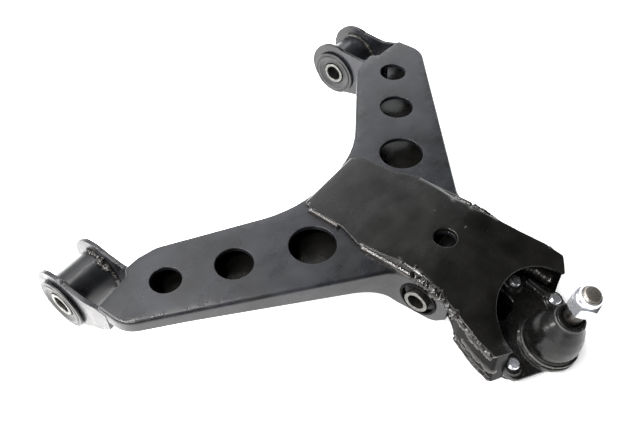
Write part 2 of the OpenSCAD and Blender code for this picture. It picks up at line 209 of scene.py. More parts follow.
ARC_STEP = math.radians(6)
EDGE_STEPS = 3
ROUND_STEPS = 72
SWEEP_STEPS = 14
SHARP = math.radians(40)


def inset_corners(corners, distance):
    """The same corners, their sides moved inwards; an outline runs counter-clockwise."""
    shifted = []
    for i, (x, y, r) in enumerate(corners):
        here = Vector((x, y))
        u = (here - Vector(corners[i - 1][:2])).normalized()
        v = (Vector(corners[(i + 1) % len(corners)][:2]) - here).normalized()
        n = Vector((-u.y, u.x))
        m = Vector((-v.y, v.x))
        here = here + distance * (n + m) / (1 + n.dot(m))
        if r and u.cross(v) > 0:
            r = max(r - distance, 0.3)
        elif r:
            r = r + distance
        shifted.append((here.x, here.y, r))
    return shifted


def corner_arc(before, corner, after):
    """Points of the arc at one corner, as many for any radius."""
    here, r = Vector(corner[:2]), corner[2]
    if r == 0:
        return [here]
    u = (Vector(before[:2]) - here).normalized()
    v = (Vector(after[:2]) - here).normalized()
    half = u.angle(v) / 2
    centre = here + (u + v).normalized() * (r / math.sin(half))
    first = here + u * (r / math.tan(half)) - centre
    sweep = (math.pi - 2 * half) * (1 if u.cross(v) < 0 else -1)
    steps = max(2, math.ceil(abs(sweep) / ARC_STEP))
    return [centre + Matrix.Rotation(sweep * k / steps, 2) @ first for k in range(steps + 1)]


def arcs(corners):
    count = len(corners)
    return [corner_arc(corners[i - 1], corners[i], corners[(i + 1) % count]) for i in range(count)]


def outline(corners, inset=0.0, spacing=0.0):
    """Points of a rounded outline. Their number depends on the corners and the spacing, not on the inset."""
    base = arcs(corners)
    shifted = arcs(inset_corners(corners, inset)) if inset else base
    points = []
    for i, arc in enumerate(shifted):
        after = (i + 1) % len(shifted)
        points += arc
        gap = (base[after][0] - base[i][-1]).length
        parts = math.ceil(gap / spacing) if spacing else 1
        points += [arc[-1].lerp(shifted[after][0], k / parts) for k in range(1, parts)]
    return points


def mirrored(half):
    """A half outline at y > 0, drawn from its +X end, closed by its mirror image."""
    return half + [(x, -y, r) for x, y, r in reversed(half)]


def soft_profile(corners):
    """An open line with rounded corners, as (x, y) points."""
    points = [Vector(corners[0][:2])]
    for i in range(1, len(corners) - 1):
        points += corner_arc(corners[i - 1], corners[i], corners[i + 1])
    return points + [Vector(corners[-1][:2])]


def height_at(profile, x):
    """Height of an open line over x; past its ends, that of the end."""
    for a, b in zip(profile, profile[1:]):
        if a.x <= x <= b.x:
            return a.y + (b.y - a.y) * (x - a.x) / max(b.x - a.x, 1e-6)
    return profile[-1].y if x > profile[-1].x else profile[0].y


def angles(count, turn=2 * math.pi, start=0.0):
    return [start + turn * i / count for i in range(count)]


def circle(x, y, r):
    return [Vector((x + r * math.cos(a), y + r * math.sin(a))) for a in angles(ROUND_STEPS)]


def offset_loop(loop, distance):
    """A closed line of points moved to its left by a small distance."""
    shifted = []
    for i, here in enumerate(loop):
        u = (here - loop[i - 1]).normalized()
        v = (loop[(i + 1) % len(loop)] - here).normalized()
        n = Vector((-u.y, u.x))
        m = Vector((-v.y, v.x))
        shifted.append(here + distance * (n + m) / max(1 + n.dot(m), 0.5))
    return shifted


def inside(point, loop):
    """Whether a closed line goes round a point."""
    found = False
    for a, b in zip(loop, loop[1:] + loop[:1]):
        if (a.y > point.y) != (b.y > point.y):
            if point.x < a.x + (b.x - a.x) * (point.y - a.y) / (b.y - a.y):
                found = not found
    return found


# ---------------------------------------------------------------- meshes


def stitched(points, faces):
    """A bmesh of points and faces whose shared points are joined and whose faces look outwards."""
    mesh = bmesh.new()
    verts = [mesh.verts.new(p) for p in points]
    for face in faces:
        corners = [verts[i] for i in face]
        if len(set(corners)) > 2:
            mesh.faces.new(corners)
    bmesh.ops.remove_doubles(mesh, verts=mesh.verts, dist=1e-3)
    bmesh.ops.recalc_face_normals(mesh, faces=mesh.faces)
    return mesh


def rings(loops, closed=False):
    """Faces between loops of equally many points, which follow each other in one list."""
    count = len(loops[0])
    last = len(loops) if closed else len(loops) - 1
    faces = []
    for j in range(last):
        here, above = j * count, (j + 1) % len(loops) * count
        for i in range(count):
            after = (i + 1) % count
            faces.append((here + i, here + after, above + after, above + i))
    return faces


def capped(loops):
    """A solid from a stack of loops, its first and last loop filled."""
    count = len(loops[0])
    points = [p for loop in loops for p in loop]
    faces = rings(loops)
    faces.append(tuple(reversed(range(count))))
    faces.append(tuple(range(len(points) - count, len(points))))
    return stitched(points, faces)


def lathe(profile, steps=96):
    """Turns a closed profile of (radius, height) about Z. Points at radius 0 become one."""
    loops = [[Vector((r * math.cos(a), r * math.sin(a), h)) for a in angles(steps)] for r, h in profile]
    return stitched([p for loop in loops for p in loop], rings(loops, closed=True))


def ring_profile(outer, inner, low, high, edge):
    """Section of a plain ring, its four corners rounded."""
    corners = [(inner, low, edge), (outer, low, edge), (outer, high, edge), (inner, high, edge)]
    return [tuple(p) for p in outline(corners)]


def panel(outer, holes, grid=0.0):
    """Triangles that fill an outline around its holes, as points and faces."""
    points = list(outer)
    edges = [(i, (i + 1) % len(outer)) for i in range(len(outer))]
    for hole in holes:
        start = len(points)
        points += hole
        edges += [(start + i, start + (i + 1) % len(hole)) for i in range(len(hole))]
    if grid:
        points += grid_points(outer, holes, grid)
    points, _, faces, *_ = delaunay_2d_cdt(points, edges, [], 1, 1e-5)
    kept = []
    for face in faces:
        middle = sum((points[i] for i in face), Vector((0, 0))) / len(face)
        if not any(inside(middle, hole) for hole in holes):
            kept.append(tuple(face))
    return points, kept


def grid_points(outer, holes, step):
    """Points of a square grid inside an outline, clear of its border and its holes."""
    lines = [outer] + holes
    border = [p for line in lines for p in line]
    low = Vector((min(p.x for p in outer), min(p.y for p in outer)))
    high = Vector((max(p.x for p in outer), max(p.y for p in outer)))
    found = []
    for i in range(1, int((high.x - low.x) / step) + 1):
        for j in range(1, int((high.y - low.y) / step) + 1):
            p = low + Vector((i, j)) * step
            near = min((q - p).length_squared for q in border) < (step / 2) ** 2
            if not near and inside(p, outer) and not any(inside(p, hole) for hole in holes):
                found.append(p)
    return found


def edge_steps(radius):
    """(inset, drop) pairs of a quarter round, from the face over to the side."""
    turn = [math.pi / 2 * k / EDGE_STEPS for k in range(EDGE_STEPS + 1)]
    return [(radius * (1 - math.sin(a)), radius * (1 - math.cos(a))) for a in turn]


def slab(outer, holes, low, high, edge, grid=0.0):
    """A plate between two heights with rounded edges, round its outline and in its holes."""
    points, faces = [], []

    def add(more_points, more_faces):
        start = len(points)
        points.extend(more_points)
        faces.extend(tuple(start + i for i in face) for face in more_faces)

    steps = edge_steps(edge)
    walls = [(inset, high - drop) for inset, drop in steps]
    walls += [(inset, low + drop) for inset, drop in reversed(steps)]
    for loop, sign in [(outer, 1)] + [(hole, -1) for hole in holes]:
        loops = [[Vector((*p, z)) for p in offset_loop(loop, sign * inset)] for inset, z in walls]
        add([p for level in loops for p in level], rings(loops))
    rim = offset_loop(outer, edge)
    rims = [offset_loop(hole, -edge) for hole in holes]
    flat, triangles = panel(rim, rims, grid)
    for z in (high, low):
        add([Vector((*p, z)) for p in flat], triangles)
    return stitched(points, faces)


def sweep(path, section):
    """A tube along a path; section(i, angle) gives its radius. Both ends are closed."""
    up = Vector((0, 0, 1))
    turn = angles(SWEEP_STEPS)
    loops = []
    for i, here in enumerate(path):
        before = path[i - 1] if i else here
        after = path[i + 1] if i < len(path) - 1 else here
        along = (after - before).normalized()
        side = along.cross(up).normalized()
        top = side.cross(along)
        loops.append([here + section(i, a) * (side * math.cos(a) + top * math.sin(a)) for a in turn])
    return capped(loops)


def copied(node):
    """A CAD node's mesh in millimetres, its split points joined and its flat triangles merged."""
    mesh = bmesh.new()
    mesh.from_mesh(frame["nodes"][node].data)
    mesh.transform(ROW.inverted())
    bmesh.ops.remove_doubles(mesh, verts=mesh.verts, dist=0.01)
    bmesh.ops.dissolve_limit(mesh, angle_limit=math.radians(0.5), verts=mesh.verts, edges=mesh.edges)
    return mesh


def softened(mesh, edge):
    """Rounds every edge that turns by more than 30 degrees."""
    least = math.radians(30)
    sharp = [e for e in mesh.edges if len(e.link_faces) == 2 and e.calc_face_angle(0) > least]
    bmesh.ops.bevel(
        mesh, geom=sharp, offset=edge, segments=2, profile=0.5, affect="EDGES", clamp_overlap=True,
    )
    return mesh


def moved(mesh, place):
    mesh.transform(place)
    return mesh


def joined(parts):
    """One bmesh that holds them all."""
    whole = bmesh.new()
    for part in parts:
        copy = bpy.data.meshes.new("part")
        part.to_mesh(copy)
        part.free()
        whole.from_mesh(copy)
        bpy.data.meshes.remove(copy)
    return whole


def weighted(made):
    """Keeps sharp corners sharp, and lets the large faces of a piece set its normals."""
    made.data.set_sharp_from_angle(angle=SHARP)
    normals = made.modifiers.new("normals", "WEIGHTED_NORMAL")
    normals.keep_sharp = True


def piece(name, mesh, material, body, nodes, place=Matrix()):
    """Makes a bmesh in millimetres a shown piece that stands for CAD nodes."""
    data = bpy.data.meshes.new(name)
    mesh.transform(ROW @ place)
    mesh.to_mesh(data)
    mesh.free()
    data.materials.append(material)
    data.shade_smooth()
    made = bpy.data.objects.new(name, data)
    bpy.context.scene.collection.objects.link(made)
    weighted(made)
    if body:
        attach(made, body)
    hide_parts(*nodes)
    return made


def baked(made):
    """Applies every modifier."""
    graph = bpy.context.evaluated_depsgraph_get()
    data = bpy.data.meshes.new_from_object(made.evaluated_get(graph))
    made.modifiers.clear()
    made.data = data


# ---------------------------------------------------------------- materials


# Depth of the paint's orange peel, in metres
PEEL = 0.000008


class Finish:
    """A procedural material: a Principled shader and short names for the nodes that feed it."""

    def __init__(self, name, metallic=0.0):
        self.material = bpy.data.materials.new(name)
        self.material.use_nodes = True
        self.tree = self.material.node_tree
        self.shader = self.tree.nodes["Principled BSDF"]
        self.shader.inputs["Metallic"].default_value = metallic
        self.place = self.add("ShaderNodeTexCoord").outputs["Object"]

    def add(self, kind, **values):
        node = self.tree.nodes.new(kind)
        for key, value in values.items():
            setattr(node, key, value)
        return node

    def link(self, source, target):
        self.tree.links.new(source, target)

    def noise(self, scale, detail=3.0, roughness=0.55, stretch=None):
        node = self.add("ShaderNodeTexNoise")
        node.inputs["Scale"].default_value = scale
        node.inputs["Detail"].default_value = detail
        node.inputs["Roughness"].default_value = roughness
        place = self.place
        if stretch:
            mapping = self.add("ShaderNodeMapping")
            mapping.inputs["Scale"].default_value = stretch
            self.link(place, mapping.inputs["Vector"])
            place = mapping.outputs["Vector"]
        self.link(place, node.inputs["Vector"])
        return node.outputs["Fac"]

    def ramp(self, value, low, high, first, second):
        """A blend of two colours: first where the value is under low, second over high."""
        node = self.add("ShaderNodeValToRGB")
        node.color_ramp.elements[0].position = low
        node.color_ramp.elements[1].position = high
        node.color_ramp.elements[0].color = (*first, 1)
        node.color_ramp.elements[1].color = (*second, 1)
        self.link(value, node.inputs["Fac"])
        return node.outputs["Color"]

    def span(self, value, low, high, first, second):
        """The same for two numbers."""
        node = self.add("ShaderNodeMapRange")
        for key, number in zip(("From Min", "From Max", "To Min", "To Max"), (low, high, first, second)):
            node.inputs[key].default_value = number
        self.link(value, node.inputs["Value"])
        return node.outputs["Result"]

    def colour(self, value):
        self.link(value, self.shader.inputs["Base Color"])

    def roughness(self, value):
        self.link(value, self.shader.inputs["Roughness"])

    def bumps(self, *heights):
        """Each height is (value, depth in metres)."""
        below = None
        for value, depth in heights:
            node = self.add("ShaderNodeBump")
            node.inputs["Distance"].default_value = depth
            self.link(value, node.inputs["Height"])
            if below:
                self.link(below, node.inputs["Normal"])
            below = node.outputs["Normal"]
        self.link(below, self.shader.inputs["Normal"])


def paint(name, dark, light, gloss, shine=0.5):
    """Black paint on steel: darker blotches, faint smears in its gloss and a little orange peel."""
    made = Finish(name)
    blotches = made.noise(22, detail=4, roughness=0.6)
    made.colour(made.ramp(blotches, 0.36, 0.66, dark, light))
    smears = made.noise(60, detail=5, roughness=0.65, stretch=(1.0, 0.45, 1.0))
    made.roughness(made.span(smears, 0.3, 0.7, *gloss))
    made.shader.inputs["Specular IOR Level"].default_value = shine
    made.bumps((made.noise(55, detail=2), PEEL * 4), (made.noise(900, detail=2), PEEL))
    return made.material


def cast_paint():
    """Paint over a rough casting."""
    made = Finish("cast_paint")
    grain = made.noise(420, detail=5, roughness=0.6)
    made.colour(made.ramp(grain, 0.35, 0.7, (0.004, 0.004, 0.004), (0.014, 0.0135, 0.0125)))
    made.roughness(made.span(made.noise(150), 0.3, 0.7, 0.16, 0.34))
    made.bumps((made.noise(200, detail=3), 0.0004), (made.noise(1100, detail=3), 0.00008))
    return made.material


def weld_paint(name, depth):
    """Paint over weld metal, thick and glossy, its bumps as deep as given in metres."""
    made = Finish(name)
    made.colour(made.ramp(made.noise(300), 0.4, 0.65, (0.005, 0.005, 0.005), (0.016, 0.0135, 0.011)))
    made.roughness(made.span(made.noise(500), 0.35, 0.7, 0.03, 0.1))
    made.bumps((made.noise(420, detail=3), depth))
    return made.material


def rubber(name, dark, light, rough, grain, shine=0.5):
    """Moulded rubber: a fine grain, as deep as given in metres, and a grey bloom in patches."""
    made = Finish(name)
    bloom = made.noise(90, detail=5, roughness=0.65)
    made.colour(made.ramp(bloom, 0.35, 0.7, dark, light))
    made.roughness(made.span(made.noise(240), 0.3, 0.7, *rough))
    made.shader.inputs["Specular IOR Level"].default_value = shine
    made.bumps((made.noise(1600, detail=2), grain))
    return made.material


def metal(name, dark, light, rough, grain, scale=300, metallic=1.0):
    """Bare or plated steel with fine tool marks and uneven brightness."""
    made = Finish(name, metallic)
    made.colour(made.ramp(made.noise(scale, detail=4), 0.3, 0.7, dark, light))
    marks = made.noise(scale * 3)
    made.roughness(made.span(marks, 0.3, 0.7, *rough))
    made.bumps((marks, grain))
    return made.material


def stud_steel():
    """Steel, dark along the shank as painted shade below the nut and bright towards the thread's end, by
    height along the stud.
    """
    made = Finish("stud_steel", 0.85)
    height = made.add("ShaderNodeVectorMath", operation="DOT_PRODUCT")
    height.inputs[1].default_value = STUD_AXIS
    made.link(made.place, height.inputs[0])
    base = (ROW @ SEAT).dot(STUD_AXIS)
    patches = made.span(made.noise(300, detail=4), 0.3, 0.7, -0.004, 0.004)
    along = made.add("ShaderNodeMath", operation="ADD")
    made.link(height.outputs["Value"], along.inputs[0])
    made.link(patches, along.inputs[1])
    # Painted shade: the shank below the nut is dark, the end above it bright.
    shank_shade = made.span(along.outputs["Value"], base + 0.05, base + 0.075, 0.0, 1.0)
    made.colour(made.ramp(shank_shade, 0.0, 1.0, (0.022, 0.02, 0.018), (0.28, 0.26, 0.24)))
    made.roughness(made.span(made.noise(900), 0.3, 0.7, 0.22, 0.4))
    made.bumps((made.noise(900), 0.00001))
    return made.material


def seat_plastic():
    """Natural acetal, slightly translucent."""
    made = Finish("seat_plastic")
    made.colour(made.ramp(made.noise(200), 0.3, 0.7, (0.66, 0.63, 0.54), (0.76, 0.73, 0.65)))
    made.roughness(made.span(made.noise(500), 0.3, 0.7, 0.35, 0.5))
    made.shader.inputs["Subsurface Weight"].default_value = 0.1
    made.bumps((made.noise(900), 0.00005))
    return made.material


ARM_PAINT = paint("arm_paint", (0.004, 0.0043, 0.005), (0.018, 0.0195, 0.025), (0.2, 0.4))
COVER_PAINT = paint("cover_paint", (0.003, 0.003, 0.0027), (0.011, 0.011, 0.0102), (0.16, 0.32))
# A darker copy of the black paint with little shine: painted shade that keeps the yoke's wings dark. The
# damper tube wears it too.
SHADED_YOKE_PAINT = paint("shaded_yoke_paint", (0.0012, 0.0012, 0.0012), (0.004, 0.004, 0.004), (0.1, 0.22), shine=0.04)
WELD_PAINT = weld_paint("weld_paint", 0.00012)
ROUGH_WELD_PAINT = weld_paint("rough_weld_paint", 0.0007)
CAST_PAINT = cast_paint()
BUSH_RUBBER = rubber("bush_rubber", (0.006, 0.006, 0.0065), (0.018, 0.0185, 0.019), (0.3, 0.48), 0.00005)
BOOT_RUBBER = rubber(
    "boot_rubber", (0.003, 0.003, 0.0029), (0.0055, 0.0055, 0.0053), (0.24, 0.3), 0.000012, shine=0.36,
)
DARK_STEEL = metal(
    "dark_steel", (0.03, 0.03, 0.032), (0.09, 0.09, 0.092), (0.25, 0.42), 0.00002, metallic=0.5,
)
SLEEVE_STEEL = metal("sleeve_steel", (0.09, 0.09, 0.085), (0.2, 0.2, 0.19), (0.3, 0.46), 0.00003)
STUD_STEEL = stud_steel()
ZINC = metal(
    "zinc_plate", (0.7, 0.73, 0.79), (0.86, 0.88, 0.92), (0.14, 0.24), 0.000006, scale=180, metallic=0.85,
)
SEAT_PLASTIC = seat_plastic()

# ---------------------------------------------------------------- arm pressing


def over(x, y, line):
    """Whether a point in plan lies on the +Y side of a line through two points."""
    (x1, y1), (x2, y2) = line
    return y > y1 - (x - x1) * (y1 - y2) / (x2 - x1)


def skirt_low(point, outer_line, inner_line):
    """Height of the skirt's lower edge under a point of the outline, or of the sheet's underside."""
    x, y = point.x, abs(point.y)
    if x > EAR_ROOT and y > NECK_HALF - SHEET and over(x, y, OUTER_LINE):
        return height_at(outer_line, x)
    if y < INNER_LINE[0][1] and not over(x, y, INNER_LINE):
        return height_at(inner_line, x)
    return UNDER


def lowered(z, x):
    """Past the bend the pressing's top follows the cover down, while the skirt's lower edge stays."""
    drop = max(0.0, x - BED_X) * math.tan(SLOPE)
    return z - drop * min(1.0, max(0.0, (z - SKIRT_LOW) / (TOP - SKIRT_LOW)))


def arm_holes():
    """Three lightening holes in each leg and the drain hole."""
    found = []
    for side in (1, -1):
        for run, radius in zip(HOLE_STEP, HOLE_R):
            at = HOLE_START + LEG_RUN * run
            found.append(circle(at.x, side * at.y, radius))
    return found + [circle(DRAIN_X, 0, DRAIN_R)]


def arm_mesh():
    """The pressing: flat on top, with turned-down skirts of the sheet's thickness."""
    corners = mirrored(ARM)
    base = outline(corners, 0, SPACING)
    outer_line = soft_profile(OUTER_SKIRT)
    inner_line = soft_profile(INNER_SKIRT)
    lows = [skirt_low(p, outer_line, inner_line) for p in base]
    points, faces = [], []

    def add(more_points, more_faces):
        start = len(points)
        points.extend(more_points)
        faces.extend(tuple(start + i for i in face) for face in more_faces)

    def level(inset, height):
        """One loop; height(low, edge) says how high it runs over the skirt's lower edge."""
        line = outline(corners, inset, SPACING)
        loop = []
        for p, low in zip(line, lows):
            edge = min(CUT_EDGE, (UNDER - low) / 4)
            loop.append(Vector((p.x, p.y, height(low, edge))))
        return loop

    loops = [level(inset, lambda low, edge, drop=drop: TOP - drop) for inset, drop in edge_steps(BEND_R)]
    loops.append(level(0, lambda low, edge: low + edge))
    loops.append(level(CUT_EDGE, lambda low, edge: low))
    loops.append(level(SHEET - CUT_EDGE, lambda low, edge: low))
    loops.append(level(SHEET, lambda low, edge: low + edge))
    loops.append(level(SHEET, lambda low, edge: max(UNDER - INNER_BEND, low + edge)))
    loops.append(level(SHEET + INNER_BEND, lambda low, edge: UNDER))
    add([p for loop in loops for p in loop], rings(loops))
    holes = arm_holes()
    rims = [offset_loop(hole, -CUT_EDGE) for hole in holes]
    for inset, z in ((BEND_R, TOP), (SHEET + INNER_BEND, UNDER)):
        flat, triangles = panel(outline(corners, inset, SPACING), rims, 9.0)
        add([Vector((*p, z)) for p in flat], triangles)
    for hole in holes:
        steps = edge_steps(CUT_EDGE)
        walls = [(inset, TOP - drop) for inset, drop in steps]
        walls += [(inset, UNDER + drop) for inset, drop in reversed(steps)]
        hole_loops = [[Vector((*p, z)) for p in offset_loop(hole, -inset)] for inset, z in walls]
        add([p for each in hole_loops for p in each], rings(hole_loops))
    for p in points:
        p.z = lowered(p.z, p.x)
    return stitched(points, faces)


def cut(made, cutter_mesh):
    """Takes the cutter's shape out of a piece."""
    data = bpy.data.meshes.new("cutter")
    cutter_mesh.transform(ROW)
    cutter_mesh.to_mesh(data)
    cutter_mesh.free()
    cutter = bpy.data.objects.new("cutter", data)
    bpy.context.scene.collection.objects.link(cutter)
    boolean = made.modifiers.new("cut", "BOOLEAN")
    boolean.object = cutter
    boolean.operation = "DIFFERENCE"
    boolean.solver = "EXACT"
    bpy.context.view_layer.update()
    made.modifiers.remove(made.modifiers["normals"])
    baked(made)
    weighted(made)
    bpy.data.objects.remove(cutter)


def make_arm():
    arm = piece("arm_pressing_form", arm_mesh(), ARM_PAINT, "arm", ["arm_pressing"])
    radius, half = DAMPER_R - 0.1, 90
    bore = lathe([(0, -half), (radius, -half), (radius, half), (0, half)], ROUND_STEPS)
    cut(arm, moved(bore, AT_DAMPER))


# ---------------------------------------------------------------- cover plate


def fold(point):
    """Bends a flat plate, whose x is measured along its surface, down over the arm's end."""
    x = point.x - BEND_X
    radius = FOLD_HALF / math.tan(SLOPE / 2)
    start = -FOLD_HALF
    length = radius * SLOPE
    height = point.z - COVER_T
    if x < start:
        return Vector((point.x, point.y, TOP + point.z))
    turn = min((x - start) / length, 1.0) * SLOPE
    beyond = max(x - start - length, 0.0)
    along = start + radius * math.sin(turn) + beyond * math.cos(turn) + height * math.sin(turn)
    up = -radius * (1 - math.cos(turn)) - beyond * math.sin(turn) + height * math.cos(turn)
    return Vector((BEND_X + along, point.y, TOP + COVER_T + up))


def along_plate(x):
    """Distance along the bent plate of a point at plan distance x."""
    if x <= BEND_X:
        return x
    radius = FOLD_HALF / math.tan(SLOPE / 2)
    return BEND_X + (x - BEND_X) / math.cos(SLOPE) - 2 * FOLD_HALF + radius * SLOPE


def cover_outline():
    """The cover laid flat: the cut-out's arc, then the sides and the inner end."""
    flat = [(along_plate(x), y, r) for x, y, r in COVER]
    centre = along_plate(YOKE_X)
    tip = math.acos((along_plate(YOKE_TIP_X) - centre) / YOKE_R)
    arc = [math.pi + (tip - math.pi) * k / 40 for k in range(41)]
    half_arc = [(centre + YOKE_R * math.cos(a), YOKE_R * math.sin(a), 0) for a in arc]
    corners = mirrored(half_arc[1:] + flat)
    return outline(corners + [half_arc[0]])


def make_cover():
    mesh = slab(cover_outline(), [circle(DRAIN_X, 0, DRAIN_R)], 0, COVER_T, 0.7, 6.0)
    for v in mesh.verts:
        v.co = fold(v.co)
    piece("cover_plate_form", mesh, COVER_PAINT, "arm", ["cover_plate"])


# ---------------------------------------------------------------- welds


def dense(corners, step):
    """Points at an even step along a line."""
    points = []
    for a, b in zip(corners, corners[1:]):
        parts = max(1, round((b - a).length / step))
        points += [a.lerp(b, k / parts) for k in range(parts)]
    return points + [corners[-1]]


BEAD_STEP = 0.6


def bead(corners, radius, pitch=2.6, ripple=0.07, lumps=0.0):
    """A weld bead along a line: overlapping crescents, uneven in size, with rounded ends."""
    path = dense(corners, BEAD_STEP)
    length = len(path)

    def section(i, angle):
        along = i * BEAD_STEP + radius * 0.5 * abs(math.cos(angle))
        crest = ripple * (1 - 2 * ((along / pitch) % 1.0) ** 1.5)
        here = path[i]
        uneven = lumps * noise.noise(here * 0.22)
        uneven += lumps * 0.6 * noise.noise(here * 0.55 + Vector((0, 0, angle)))
        end = min(i, length - 1 - i) * BEAD_STEP / radius
        taper = math.sqrt(max(0.02, 1 - (1 - min(end, 1.0)) ** 2))
        return radius * taper * (1 + crest + uneven)

    return sweep(path, section)


def cover_edge(x_from, x_to, inset, height):
    """Points along the +Y edge of the folded cover, moved inwards, at a height over its underside."""
    corners = inset_corners(mirrored([(along_plate(x), y, r) for x, y, r in COVER]), inset)
    line = [Vector(p) for p in outline(corners, 0, 2.0)]
    kept = [p for p in line if p.y > 30 and along_plate(x_from) <= p.x <= along_plate(x_to)]
    return [fold(Vector((p.x, p.y, height))) for p in kept]


def flipped(points):
    """The same points on the other side of the arm."""
    return [Vector((p.x, -p.y, p.z)) for p in points]


def spatter(x, y, radius):
    """A drop of weld metal that stuck to the cover."""
    dome = [(radius * math.cos(a), radius * 0.5 * math.sin(a)) for a in angles(6, math.pi / 2)]
    drop = lathe([(0, -0.2), (radius, -0.2)] + dome + [(0, radius * 0.5)], 16)
    return moved(drop, Matrix.Translation(fold(Vector((along_plate(x), y, COVER_T)))))


# Drops on the cover, as (x, y, radius)
SPATTER = [
    (213.6, 20, 1.5), (243.5, 20, 1.3), (206, -41, 0.9), (221, -43, 1.1), (232, -40, 1.6), (239, -43, 1.3),
]


def make_cover_welds():
    """A fillet at the inner end and beads along both sides, smooth at first and then lumpy."""
    smooth, rough = [], [spatter(*drop) for drop in SPATTER]
    for flip, radius, height, lumps in ((list, 2.2, 0.3, 0.15), (flipped, 3.1, 0.9, 0.6)):
        inner = cover_edge(124, 158, 0.4, height)
        side = cover_edge(183, 236, 0.4, height)
        lumpy = cover_edge(234, 282, 0.2, height - 0.4)
        smooth += [bead(flip(line), radius, ripple=0.02) for line in (inner, side)]
        rough.append(bead(flip(lumpy), radius + lumps, pitch=3.4, ripple=0.1, lumps=lumps))
    end = [Vector((121.0, y, TOP - 1.3)) for y in (37, 0, -37)]
    smooth.append(bead(end, 5.0, ripple=0.0))
    piece("cover_welds_form", joined(smooth), WELD_PAINT, "arm", ["cover_welds"])
    piece("cover_welds_rough_form", joined(rough), ROUGH_WELD_PAINT, "arm", ["cover_welds"])


def wing_run(inset, lift):
    """Points along the +Y wing of the yoke at a height over its lower edge."""
    line = [Vector(p) for p in outline(inset_corners(mirrored(TRAY), inset), 0, 2.0)]
    kept = [p for p in line if p.y > 45 and 276 < p.x < 317]
    base = LUG_Z - TRAY_DROP + lift
    return [Vector((p.x, p.y, base - (p.x - LUG_X) * math.tan(SLOPE))) for p in kept]


# Runs along the outside of each wing of the yoke, as (inset, lift, radius)
WING_RUNS = [(0.6, 1.4, 2.0), (0.8, 5.6, 1.7), (5.2, 12.6, 6.2)]


def make_yoke_welds():
    """A lumpy bead under the cover's edge and three runs down each wing."""
    parts = []
    for flip in (list, flipped):
        wing = cover_edge(278, 317, 1.2, -0.4)
        parts.append(bead(flip(wing), 3.4, pitch=3.0, ripple=0.1, lumps=0.4))
        for inset, lift, radius in WING_RUNS:
            parts.append(bead(flip(wing_run(inset, lift)), radius, ripple=0.03, lumps=0.15))
    piece("yoke_welds_form", joined(parts), ROUGH_WELD_PAINT, "arm", ["yoke_welds"])


def round_tube(lift, height, turn):
    """Points round a pivot tube at some of its angles, a little off its surface."""
    radius = TUBE_R + lift
    return [Vector((radius * math.cos(a), radius * math.sin(a), height)) for a in turn]


def make_ear_welds(side, name):
    """A bead round the tube at each ear, and a fat blob on the inner one."""
    parts = []
    start = math.radians(-120 if side > 0 else -30)
    for end in (-1, 1):
        ring = round_tube(0.6, end * (EAR_GAP / 2 - 0.4), angles(60, math.radians(150), start))
        parts.append(bead(ring, 2.9, pitch=3.2, ripple=0.12, lumps=0.2))
    blob = round_tube(1.4, -(EAR_GAP / 2 - 2.2), angles(16, math.radians(38), start + math.radians(72)))
    parts.append(bead(blob, 4.6, pitch=4.0, ripple=0.08, lumps=0.4))
    piece(f"{name}_form", joined(parts), ROUGH_WELD_PAINT, "arm", [name], at_bush(side))


# ---------------------------------------------------------------- plates taken from the CAD


def refine(node, edge, material):
    """A plate of the arm as the CAD has it, with its edges rounded."""
    piece(f"{node}_form", softened(copied(node), edge), material, "arm", [node])


# ---------------------------------------------------------------- bushes


def both_ends(half):
    """A closed section from its half at positive height, which starts and ends at height 0."""
    upper = [tuple(p) for p in soft_profile(half)]
    return upper + [(r, -h) for r, h in reversed(upper)][1:-1]


def make_bush(side, end):
    """The shell, the rubber with its ringed lips and the sleeve of one pivot bush."""
    rim = EAR_GAP / 2 + SHEET + 1.5
    shell = [(SHELL_R - 1.5, -rim), (SHELL_R - 0.3, -rim - 0.3), (SHELL_R, -rim + 0.4)]
    shell += [(r, -h) for r, h in reversed(shell)]
    piece(
        f"bush_shell_{end}_form", lathe(shell), DARK_STEEL, "arm",
        [f"bush_shell_{end}"], at_bush(side),
    )
    inner = SLEEVE_R + 0.05
    lip = [
        (inner, 0, 0), (inner, rim - 1, 0), (inner + 1.2, rim + 0.7, 0.5), (inner + 2.6, rim - 0.1, 0.8),
        (SHELL_R - 2.6, rim + 0.9, 3), (SHELL_R - 0.6, rim + 2.2, 0.9), (SHELL_R + 1.2, rim + 2.1, 0.5),
        (SHELL_R + 1.9, rim + 0.9, 0.4), (SHELL_R + 2.8, rim + 1.8, 0.4), (LIP_R - 0.4, rim + 1.7, 0.5),
        (LIP_R, rim + 0.1, 0.4), (SHELL_R - 1.5, rim, 0), (SHELL_R - 1.5, 0, 0),
    ]
    piece(
        f"bush_rubber_{end}_form", lathe(both_ends(lip)), BUSH_RUBBER, "arm",
        [f"bush_rubber_{end}"], at_bush(side),
    )
    sleeve = ring_profile(SLEEVE_R, BORE_R, -SLEEVE_HALF, SLEEVE_HALF, 0.7)
    piece(
        f"bush_sleeve_{end}_form", lathe(sleeve), SLEEVE_STEEL, f"{end}_sleeve",
        [f"bush_sleeve_{end}"], at_bush(side),
    )


